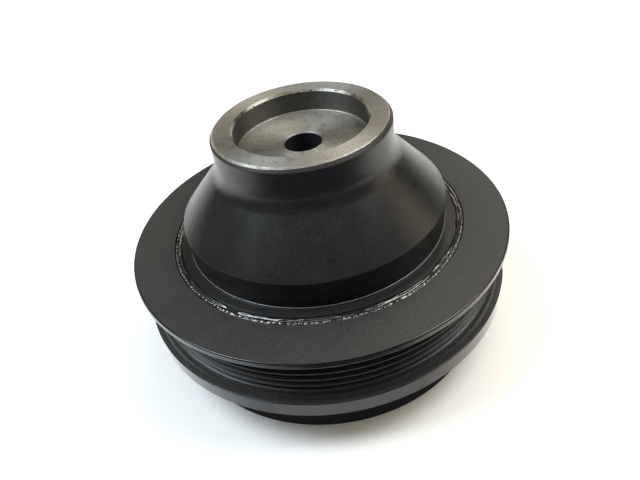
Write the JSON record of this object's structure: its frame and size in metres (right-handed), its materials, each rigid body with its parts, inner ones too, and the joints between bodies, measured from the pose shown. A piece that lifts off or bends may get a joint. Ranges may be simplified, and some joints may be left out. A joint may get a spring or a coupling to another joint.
{
  "type": "harmonic balancer",
  "caption": "Crankshaft harmonic balancer: a coned hub with a counterbored nose, a rubber damping ring, and an inertia ring with a flanged ribbed belt track and foot drum.",
  "frame": {"origin": "centre of the foot's flat end, where the balancer stands", "axes": "+Z along the crankshaft axis, from the foot towards the nose that takes the crankshaft bolt; +X through the middle of the keyway"},
  "size_m": [0.175, 0.175, 0.109],
  "materials": {
    "hub_paint": "satin black paint, with the nose face and its recess left as bare machined metal",
    "ring_paint": "satin black paint",
    "rubber": "black moulded rubber with glossy squeezed-out flash"
  },
  "bodies": {
    "root": {"hub": "hub_paint", "rubber_ring": "rubber", "inertia_ring": "ring_paint"}
  },
  "joints": []
}
